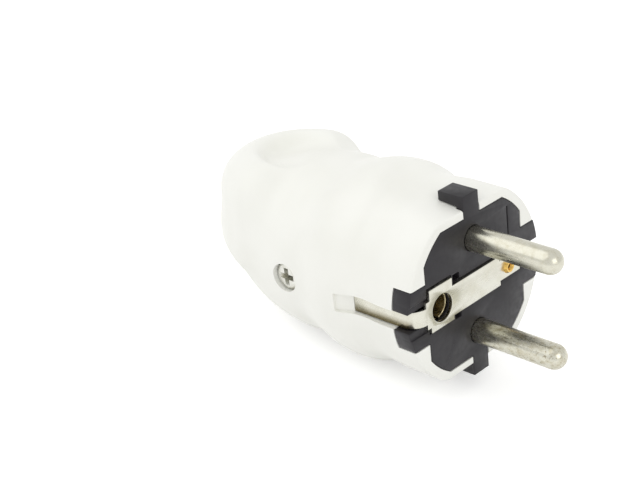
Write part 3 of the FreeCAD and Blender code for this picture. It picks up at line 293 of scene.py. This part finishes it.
# the faces of a tube of rings, each with the same number of points, closed at both ends
def tubeFaces(rings, around):
    faces = []
    for ring in range(rings - 1):
        here, there = ring * around, (ring + 1) * around
        for i in range(around):
            after = (i + 1) % around
            faces.append((here + i, here + after, there + after, there + i))
    faces.append(range(around))
    faces.append(range((rings - 1) * around, rings * around))
    return faces


# a closed turned form about X: (x, radius) pairs from end to end, in millimetres
def lathe(profile, segments=96):
    angles = [2 * math.pi * i / segments for i in range(segments)]
    points = []
    for x, radius in profile:
        points += [(x * mm, radius * math.cos(a) * mm, radius * math.sin(a) * mm)
                   for a in angles]
    mesh = meshFrom("turned", points, tubeFaces(len(profile), segments))
    outwardNormals(mesh)
    return mesh


def cutBy(mesh, cutters):
    body = bpy.data.objects.new("cutBody", mesh)
    bpy.context.collection.objects.link(body)
    for cutter in cutters:
        tool = bpy.data.objects.new("cutTool", cutter)
        bpy.context.collection.objects.link(tool)
        modifier = body.modifiers.new("cut", "BOOLEAN")
        modifier.operation = "DIFFERENCE"
        modifier.solver = "MANIFOLD"
        modifier.object = tool
        mesh = applied(body)
        body.modifiers.clear()
        body.data = mesh
        bpy.data.objects.remove(tool)
    bpy.data.objects.remove(body)
    return mesh


# housing
# millimetres and degrees; collar and flats are (x, distance from the axis) knots, and each
# ring run is (from x, to x, rings)

housing = {
    "collar": [(-32.5, 17.95), (-29, 17.75), (-26.6, 18.3), (-24.25, 19.02), (-21.8, 19.5),
               (-19.5, 19.65), (-17.6, 19.55), (-16, 19.2), (-14.3, 18.5), (-7, 18.5),
               (0, 18.5)],
    "rimRound": 0.45,
    "flats": [(-23, 24), (-19.5, 20.2), (-17, 18.5), (-14.3, 17.45), (-7, 16.55), (0, 15.7)],
    "flatRound": 0.7,
    "gripBack": 32.5, "gripRadius": 17.95, "gripArc": 38.0,
    "taperBack": 52.5, "neckRadius": 7.6, "length": 60.6, "rear": 60.9, "neckRound": 1.6,
    "headFront": 40.7, "headBack": 61.0, "headHalfWidth": 16.3, "headTop": 18.25,
    "headRound": 8.2, "headUnder": 1.2, "headUnderRound": 2.5, "headEdge": 5.0,
    "headSlant": 18.0, "headSlantTop": 10.0, "headSlantRound": 1.5, "headBlend": 5.0,
    "thumbHalf": 8.0, "thumbLong": 11.4, "thumbBack": 40.0,
    "thumbFlare": 2.4, "thumbFlareLow": 16.1, "thumbRim": 0.8,
    "around": 320,
    "rings": [(-0.002, -0.45, 8), (-0.6, -14, 30), (-14.3, -24, 34), (-24.4, -38, 34),
              (-38.3, -44.2, 32), (-44.4, -52.6, 48), (-52.9, -57.5, 16), (-57.8, -60.3, 12),
              (-60.4, -60.898, 9)],
    "step": 0.4, "steps": 64, "halvings": 16,
}


# a smooth line through (x, value) knots
def through(x, knots):
    places, values = np.array(knots, float).T
    slopes = np.gradient(values, places)
    i = np.clip(np.searchsorted(places, x) - 1, 0, len(places) - 2)
    step = places[i + 1] - places[i]
    t = np.clip((x - places[i]) / step, 0, 1)
    return ((2 * t ** 3 - 3 * t ** 2 + 1) * values[i]
            + (t ** 3 - 2 * t ** 2 + t) * step * slopes[i]
            + (3 * t ** 2 - 2 * t ** 3) * values[i + 1]
            + (t ** 3 - t ** 2) * step * slopes[i + 1])


def smoothMax(a, b, blend):
    overlap = np.maximum(blend - np.abs(a - b), 0) / blend
    return np.maximum(a, b) + overlap ** 2 * blend / 4


# the turned body's radius: collar and waist in front, then the grip's arc, then a taper
def gripRadiusAt(x):
    s = housing
    arcLength = s["taperBack"] - s["gripBack"]
    run = np.clip(-x - s["gripBack"], 0, arcLength)
    arc = s["gripRadius"] - s["gripArc"] + np.sqrt(s["gripArc"] ** 2 - run ** 2)
    taperStart = (s["gripRadius"] - s["gripArc"]
                  + math.sqrt(s["gripArc"] ** 2 - arcLength ** 2))
    share = np.clip((-x - s["taperBack"]) / (s["length"] - s["taperBack"]), 0, 1)
    taper = taperStart + (s["neckRadius"] - taperStart) * share
    front = through(np.maximum(x, -s["gripBack"]), s["collar"])
    return np.where(-x < s["gripBack"], front, np.where(-x < s["taperBack"], arc, taper))


# below zero in the thumb hollow: a drum stretched along the plug, with a flared rim
def thumbField(x, y, z):
    s = housing
    drum = np.hypot((x + s["thumbBack"]) * s["thumbHalf"] / s["thumbLong"], y) - s["thumbHalf"]
    rise = np.clip(z - s["thumbFlareLow"], 0, s["thumbFlare"])
    return drum - s["thumbFlare"] + np.sqrt(s["thumbFlare"] ** 2 - rise ** 2)


# below zero in the pull head: a rounded pad whose front leans back below, less the hollow
def headField(x, y, z):
    s = housing
    along = (x + s["headFront"]) * s["headHalfWidth"] / (s["headBack"] - s["headFront"])
    plan = np.hypot(along, y) - (s["headHalfWidth"] - s["headRound"])
    rise = z - (s["headTop"] - s["headRound"])
    head = (np.minimum(np.maximum(plan, rise), 0)
            + np.hypot(np.maximum(plan, 0), np.maximum(rise, 0)) - s["headRound"])
    head = smoothMax(head, -s["headUnder"] - z, s["headUnderRound"])
    lean = math.radians(s["headSlant"])
    front = x + s["headFront"]
    slant = front * math.cos(lean) + (s["headSlantTop"] - z) * math.sin(lean)
    head = smoothMax(head, smoothMax(front, slant, s["headSlantRound"]), s["headEdge"])
    return smoothMax(head, -thumbField(x, y, z), s["thumbRim"])


# below zero inside the housing's outer skin, above zero outside
def housingField(x, y, z):
    s = housing
    body = np.hypot(y, z) - gripRadiusAt(x)
    field = -smoothMax(-body, -headField(x, y, z), s["headBlend"])
    flatBack = s["flats"][0][0]
    flat = through(np.clip(x, flatBack, 0), s["flats"]) + np.maximum(flatBack - x, 0)
    field = smoothMax(field, np.abs(z) - flat, s["flatRound"])
    field = smoothMax(field, x, s["rimRound"])
    return smoothMax(field, -s["rear"] - x, s["neckRound"])


# rings along X, closer where the form turns, each point moved out along its ray in steps to
# the last place that is still inside the skin, then by halving to the skin itself
def housingSkin():
    s = housing
    x = np.concatenate([np.linspace(*run) for run in s["rings"]])[:, None]
    angle = (np.arange(s["around"]) * 2 * np.pi / s["around"])[None, :]
    axis = np.zeros((x.shape[0], angle.shape[1]))

    def isInside(reach):
        return housingField(x, reach * np.cos(angle), reach * np.sin(angle)) < 0

    low = axis
    for k in range(1, s["steps"] + 1):
        low = np.where(isInside(axis + k * s["step"]), k * s["step"], low)
    high = low + s["step"]
    for k in range(s["halvings"]):
        middle = (low + high) / 2
        inside = isInside(middle)
        low, high = np.where(inside, middle, low), np.where(inside, high, middle)
    points = np.stack([x + axis, low * np.cos(angle), low * np.sin(angle)], -1)
    mesh = meshFrom("housingSkin", points.reshape(-1, 3) * mm,
                    tubeFaces(x.shape[0], s["around"]))
    outwardNormals(mesh)
    return mesh


# the carrier's face plate, arms and hooks, as far as the housing makes room for them, with
# the gap round them, in millimetres
carrier = {
    "radius": 16.5, "flat": 14.05, "side": 13.55, "arcSteps": 10, "gap": 0.15,
    "armTop": 5.95, "armLow": 1.9, "armDepth": 4.0, "armInner": 12.55, "armOuter": 19.5,
    "hookHalf": 2.15, "hookNeck": 1.6, "hookInner": 13.05, "hookOuter": 19.35,
}

# the other openings in the housing: (x, radius) ends of turned ones, along the plug or, for
# the screw, out of its side, and (x, y) corners of the slot that takes a side clip
openings = {
    "front": 1, "plateBack": -17.3,
    "cavity": [(-14.2, 14.2), (-18.3, 15.9), (-29, 15.0), (-33.5, 13.5), (-40.5, 12.9),
               (-44.5, 12.9), (-53.2, 8.2)],
    "inlet": [(-62, 5.0), (-52, 5.0)],
    "screwX": -32.3, "screwSeat": [(-40, 2.9), (-14.9, 2.9)], "screwHole": [(-40, 1.7), (-12, 1.7)],
    "clipSlot": [(1, 12.55), (1, 22.5), (-17.6, 22.5), (-17.6, 18.9), (-14.4, 17.4),
                 (-14.4, 12.55)],
    "clipHalf": 1.85,
}


# the face plate's outline, grown by a gap: a circle cut by two flats and two sides
def plateOutline(grow):
    radius, flat, side = [carrier[key] + grow for key in ("radius", "flat", "side")]
    start, end = math.acos(side / radius), math.asin(flat / radius)
    steps = carrier["arcSteps"]
    quarter = [start + (end - start) * i / steps for i in range(steps + 1)]
    angles = quarter + [math.pi - a for a in reversed(quarter)]
    angles += [math.pi + a for a in quarter] + [2 * math.pi - a for a in reversed(quarter)]
    return [(radius * math.cos(a), radius * math.sin(a)) for a in angles]


def housingCutters():
    s, c, gap = openings, carrier, carrier["gap"]
    screwSeat, screwHole = lathe(s["screwSeat"], 64), lathe(s["screwHole"], 32)
    for cutter in (screwSeat, screwHole):
        cutter.transform(Matrix.Translation((s["screwX"] * mm, 0, 0))
                         @ Matrix.Rotation(math.radians(90), 4, "Z"))
    cutters = [prism(plateOutline(gap), "X", s["plateBack"], s["front"]),
               lathe(s["cavity"], 128), lathe(s["inlet"]), screwSeat, screwHole]
    for side in (1, -1):
        slot = [(x, side * y) for x, y in s["clipSlot"]]
        cutters.append(prism(slot, "Z", -s["clipHalf"], s["clipHalf"]))
        ys = sorted((side * c["armInner"], side * c["armOuter"]))
        for high in (1, -1):
            zs = sorted((high * (c["armLow"] - gap), high * (c["armTop"] + gap)))
            cutters.append(box((-c["armDepth"] - gap, ys[0], zs[0]),
                               (s["front"], ys[1], zs[1])))
        zs = sorted((side * c["hookInner"], side * c["hookOuter"]))
        cutters.append(box((-c["hookNeck"] - gap, -c["hookHalf"] - gap, zs[0]),
                           (s["front"], c["hookHalf"] + gap, zs[1])))
    return cutters


shell = cutBy(housingSkin(), housingCutters())
outwardNormals(shell, 32)
addPiece("housingShell", shell, whiteAbs, "housing_plastic", "housing")
print("housing shell", len(shell.polygons), "faces")


# carrier, strips and sleeve
# millimetres and degrees

softEdge = {"merge": 0.002, "flat": 1.0, "sharp": 30, "segments": 2, "smooth": 40}


# a copy of a solid with the fine edge rounding that its mould or die leaves
def softened(name, nodeName, width, material, slotName):
    mesh = nodes[nodeName].data.copy()
    form = bmesh.new()
    form.from_mesh(mesh)
    bmesh.ops.remove_doubles(form, verts=form.verts, dist=softEdge["merge"] * mm)
    bmesh.ops.dissolve_limit(form, angle_limit=math.radians(softEdge["flat"]),
                             verts=form.verts, edges=form.edges)
    form.to_mesh(mesh)
    form.free()
    piece = bpy.data.objects.new(name, mesh)
    bpy.context.collection.objects.link(piece)
    bevel = piece.modifiers.new("edges", "BEVEL")
    bevel.width = width * mm
    bevel.segments = softEdge["segments"]
    bevel.limit_method = "ANGLE"
    bevel.angle_limit = math.radians(softEdge["sharp"])
    bevel.use_clamp_overlap = False
    rounded = applied(piece)
    bpy.data.objects.remove(piece)
    outwardNormals(rounded, softEdge["smooth"])
    return addPiece(name, rounded, material, slotName, nodeName)


softened("faceCarrier", "contact_carrier", 0.14, charcoal, "carrier_plastic")
softened("earthStrap", "earth_strap", 0.08, stripNickel, "nickel_plate")
softened("earthClipFar", "earth_clip_far", 0.08, stripNickel, "nickel_plate")
softened("earthSleeve", "earth_socket_sleeve", 0.18, sleeveBrass, "brass")
print("carrier and strips ready")


# screws

# a rolled thread: one ridge swept turn after turn round a core that lies back along X
def rolledThread():
    group = bpy.data.node_groups.new("rolledThread", "GeometryNodeTree")
    kinds = {"Head and core": "NodeSocketGeometry", "Core radius": "NodeSocketFloat",
             "Length": "NodeSocketFloat", "Pitch": "NodeSocketFloat",
             "Ridge": "NodeSocketFloat", "Steel": "NodeSocketMaterial"}
    sockets = {name: group.interface.new_socket(name, in_out="INPUT", socket_type=kind).identifier
               for name, kind in kinds.items()}
    group.interface.new_socket("Screw", in_out="OUTPUT", socket_type="NodeSocketGeometry")
    given = addNode(group, "NodeGroupInput").outputs
    turns = addNode(group, "ShaderNodeMath", links={0: given["Length"], 1: given["Pitch"]},
                    operation="DIVIDE")
    helix = addNode(group, "GeometryNodeCurveSpiral", {"Resolution": 24},
                    {"Rotations": turns.outputs[0], "Start Radius": given["Core radius"],
                     "End Radius": given["Core radius"], "Height": given["Length"]})
    ridge = addNode(group, "GeometryNodeCurvePrimitiveCircle", {"Resolution": 3},
                    {"Radius": given["Ridge"]})
    thread = addNode(group, "GeometryNodeCurveToMesh", {"Fill Caps": True},
                     {"Curve": helix.outputs[0], "Profile Curve": ridge.outputs[0]})
    lying = addNode(group, "GeometryNodeTransform", {"Rotation": (0, math.radians(-90), 0)},
                    {"Geometry": thread.outputs[0]})
    joined = addNode(group, "GeometryNodeJoinGeometry", links={"Geometry": given["Head and core"]})
    group.links.new(lying.outputs[0], joined.inputs[0])
    real = addNode(group, "GeometryNodeRealizeInstances", links={"Geometry": joined.outputs[0]})
    steel = addNode(group, "GeometryNodeSetMaterial",
                    links={"Geometry": real.outputs[0], "Material": given["Steel"]})
    addNode(group, "NodeGroupOutput", links={"Screw": steel.outputs[0]})
    return group, sockets


# a wedge that narrows and shortens towards its foot, as one arm pair of a cross drive does
def driveWedge(long, wide, top, foot, taper):
    points = []
    for level, share in ((top, 1.0), (foot, taper)):
        points += [(level * mm, a * long * share * mm / 2, b * wide * share * mm / 2)
                   for a, b in ((-1, -1), (1, -1), (1, 1), (-1, 1))]
    faces = [(3, 2, 1, 0), (4, 5, 6, 7)]
    faces += [(i, (i + 1) % 4, 4 + (i + 1) % 4, 4 + i) for i in range(4)]
    mesh = meshFrom("wedge", points, faces)
    outwardNormals(mesh)
    return mesh


# each screw: the foot of its head, the way its head looks, and millimetres
screws = {
    "housing_screw": {"at": (-32.3, -14.9, 0), "to": "-Y", "head": 5.6, "height": 2.2,
                      "shank": 3.0, "reach": 7.4, "pitch": 0.5, "cross": True},
    "terminal_screw_upper": {"at": (-10.3, 4.4, 9.5), "to": "Y", "head": 5.6, "height": 1.9,
                             "shank": 3.5, "reach": 4.4, "pitch": 0.6},
    "terminal_screw_lower": {"at": (-10.3, 4.4, -9.5), "to": "Y", "head": 5.6, "height": 1.9,
                             "shank": 3.5, "reach": 4.4, "pitch": 0.6},
    "earth_terminal_screw": {"at": (-8.4, 10.7, 0), "to": "Y", "head": 5.0, "height": 1.5,
                             "shank": 3.5, "reach": 3.2, "pitch": 0.6},
    "cover_screw": {"at": (-17.3, 0, 0), "to": "-X", "head": 4.8, "height": 1.6,
                    "shank": 2.6, "reach": 7.8, "pitch": 0.9},
    "clamp_screw_upper": {"at": (-40.5, -0.8, 8), "to": "Y", "head": 4.8, "height": 1.7,
                          "shank": 3.0, "reach": 5.5, "pitch": 0.5},
    "clamp_screw_lower": {"at": (-40.5, -0.8, -8), "to": "Y", "head": 4.8, "height": 1.7,
                          "shank": 3.0, "reach": 5.5, "pitch": 0.5},
}

# what all screws share: ridge is a share of the pitch, tip and threadTip of the core's
# radius, edge and the drives' feet of the head's height, spans of its radius; the rest is
# in millimetres
screwForm = {
    "around": 48, "ridge": 0.45, "tipRadius": 0.6, "tipLength": 0.4, "threadTip": 0.5,
    "edge": 0.3, "edgeDegrees": 15, "footInset": 0.15, "footRise": 0.1,
    "crossSpan": 1.3, "crossWidth": 1.15, "crossAbove": 0.1, "crossFoot": 0.1, "crossTaper": 0.45,
    "slotSpan": 3, "slotWidth": 0.8, "slotAbove": 0.5, "slotFoot": 0.4,
}
turnTo = {"Y": 90, "-Y": -90, "-X": 180}
threadGroup, threadSockets = rolledThread()


# head and core in one turned form, with the domed edge of the head and a blunt tip
def screwBlank(spec, core):
    f, head, height = screwForm, spec["head"] / 2, spec["height"]
    edge = height * f["edge"]
    dome = [(height - edge * (1 - math.sin(a)), head - edge * (1 - math.cos(a)))
            for a in [math.radians(d) for d in range(0, 91, f["edgeDegrees"])]]
    blank = lathe([(-spec["reach"], core * f["tipRadius"]),
                   (-spec["reach"] + core * f["tipLength"], core), (0, core),
                   (0, head - f["footInset"]), (f["footRise"], head)] + dome, f["around"])
    if spec.get("cross"):
        span, width = head * f["crossSpan"], f["crossWidth"]
        ends = (height + f["crossAbove"], height * f["crossFoot"], f["crossTaper"])
        return cutBy(blank, [driveWedge(span, width, *ends), driveWedge(width, span, *ends)])
    return cutBy(blank, [driveWedge(head * f["slotSpan"], f["slotWidth"],
                                    height + f["slotAbove"], height * f["slotFoot"], 1.0)])


def addScrew(nodeName, spec):
    ridge = spec["pitch"] * screwForm["ridge"]
    core = spec["shank"] / 2 - ridge
    piece = bpy.data.objects.new("screwBlank", screwBlank(spec, core))
    bpy.context.collection.objects.link(piece)
    rolled = piece.modifiers.new("thread", "NODES")
    rolled.node_group = threadGroup
    given = {"Core radius": core * mm, "Pitch": spec["pitch"] * mm, "Ridge": ridge * mm,
             "Length": (spec["reach"] - core * screwForm["threadTip"]) * mm, "Steel": zinc}
    for name, value in given.items():
        rolled[threadSockets[name]] = value
    mesh = applied(piece)
    bpy.data.objects.remove(piece)
    mesh.transform(Matrix.Translation(Vector(spec["at"]) * mm)
                   @ Matrix.Rotation(math.radians(turnTo[spec["to"]]), 4, "Z"))
    outwardNormals(mesh, 30)
    words = nodeName.split("_")
    name = words[0] + "".join(word.title() for word in words[1:])
    addPiece(name, mesh, zinc, "zinc_steel", nodeName)


for nodeName, spec in screws.items():
    addScrew(nodeName, spec)
print("screws ready")


# solids that stay as they are, with their material

plainNodes = {
    "pin_upper": pinNickel, "pin_lower": scuffedPinNickel, "earth_rivet": rivetBrass,
    "earth_terminal": terminalBrass, "contact_cover": charcoal, "cord_clamp_saddle": zinc,
    "housing_nut": zinc, "inlet_grommet": rubber,
}
for name, material in plainNodes.items():
    for slot in nodes[name].material_slots:
        slot.material = material
print("plain solids ready")


# floor, light and camera

# one number for both kinds of ray: 1 for what the camera or a gloss sees
def seenRays(tree):
    rays = addNode(tree, "ShaderNodeLightPath")
    seen = addNode(tree, "ShaderNodeMath", operation="MAXIMUM",
                   links={0: rays.outputs["Is Camera Ray"], 1: rays.outputs["Is Glossy Ray"]})
    return rays, seen.outputs[0]


# white paper that keeps the plug's shadow and is lifted towards white where it is seen
floorLook = {"paper": "#f4f4f4", "lift": 0.35, "half": 3.0}
# where the collar touches the floor, and the grip's run and points that are tried
resting = {"collarX": -19.5, "collarZ": -19.62, "gripRun": (-60, -24, 400)}


# the plug lies on its collar and the belly of its grip, so its axis tips up at the pins
def restingFloor():
    collarX, collarZ = resting["collarX"], resting["collarZ"]
    x = np.linspace(*resting["gripRun"])
    tilt = math.atan(np.min((-gripRadiusAt(x) - collarZ) / (collarX - x)))
    half = floorLook["half"]
    corners = [(-half, -half, 0), (half, -half, 0), (half, half, 0), (-half, half, 0)]
    mesh = meshFrom("floor", corners, [(0, 1, 2, 3)])
    mesh.transform(Matrix.Translation((collarX * mm, 0, collarZ * mm))
                   @ Matrix.Rotation(tilt, 4, "Y"))
    floor = bpy.data.objects.new("floor", mesh)
    bpy.context.collection.objects.link(floor)
    material, tree, place = newMaterial("studioPaper")
    paper = addNode(tree, "ShaderNodeBsdfDiffuse", {"Color": linearColour(floorLook["paper"])})
    glow = addNode(tree, "ShaderNodeEmission",
                   {"Color": (1, 1, 1, 1), "Strength": floorLook["lift"]})
    none = addNode(tree, "ShaderNodeEmission", {"Strength": 0.0})
    lift = addNode(tree, "ShaderNodeMixShader",
                   links={0: seenRays(tree)[1], 1: none.outputs[0], 2: glow.outputs[0]})
    both = addNode(tree, "ShaderNodeAddShader", links={0: paper.outputs[0], 1: lift.outputs[0]})
    addNode(tree, "ShaderNodeOutputMaterial", links={"Surface": both.outputs[0]})
    mesh.materials.append(material)
    return tilt


tilt = restingFloor()
print("floor tilt", round(math.degrees(tilt), 2), "degrees")

# strengths of the world, then each lamp's place and size in metres and its watts
studio = {
    "fill": 0.88, "white": 1.0, "aim": (-0.02, 0, 0),
    "lamps": {"keyBox": {"place": (-0.35, -0.25, 0.5), "size": 0.7, "power": 0.9},
              "sideBox": {"place": (0.45, -0.1, 0.2), "size": 0.3, "power": 0.35}},
}


# an even fill on the plug, and plain white where the camera, gloss or glass sees the world
def studioWorld():
    world = bpy.data.worlds.new("studio")
    bpy.context.scene.world = world
    world.use_nodes = True
    tree = world.node_tree
    tree.nodes.clear()
    rays, seen = seenRays(tree)
    clear = addNode(tree, "ShaderNodeMath", operation="MAXIMUM",
                    links={0: seen, 1: rays.outputs["Is Transmission Ray"]})
    fill, white = [addNode(tree, "ShaderNodeBackground",
                           {"Color": (1, 1, 1, 1), "Strength": studio[key]})
                   for key in ("fill", "white")]
    mix = addNode(tree, "ShaderNodeMixShader",
                  links={0: clear.outputs[0], 1: fill.outputs[0], 2: white.outputs[0]})
    addNode(tree, "ShaderNodeOutputWorld", links={"Surface": mix.outputs[0]})


def softBox(name, place, size, power):
    lamp = bpy.data.lights.new(name, "AREA")
    lamp.size = size
    lamp.energy = power
    holder = bpy.data.objects.new(name, lamp)
    holder.location = Vector(place)
    sight = Vector(studio["aim"]) - Vector(place)
    holder.rotation_euler = sight.to_track_quat("-Z", "Y").to_euler()
    bpy.context.collection.objects.link(holder)


studioWorld()
for name, lamp in studio["lamps"].items():
    softBox(name, lamp["place"], lamp["size"], lamp["power"])
print("floor and light ready")

# the view of the photograph, from the pins' right and above: place, sensor and lens in
# millimetres
view = {
    "place": (153.22, -178.60, 125.62), "lens": 81.7, "sensor": 36.0, "nearest": 10,
    "right": (0.7110, 0.6951, -0.1061), "up": (-0.2376, 0.3795, 0.8942),
    "back": (0.6618, -0.6106, 0.4350),
}
camera = bpy.data.objects.new("camera", bpy.data.cameras.new("camera"))
camera.data.lens = view["lens"]
camera.data.sensor_width = view["sensor"]
camera.data.clip_start = view["nearest"] * mm
turn = Matrix((view["right"], view["up"], view["back"])).transposed().to_4x4()
camera.matrix_world = Matrix.Translation(Vector(view["place"]) * mm) @ turn
bpy.context.collection.objects.link(camera)
bpy.context.scene.camera = camera
bpy.context.scene.view_settings.view_transform = "Standard"

print("scene done")
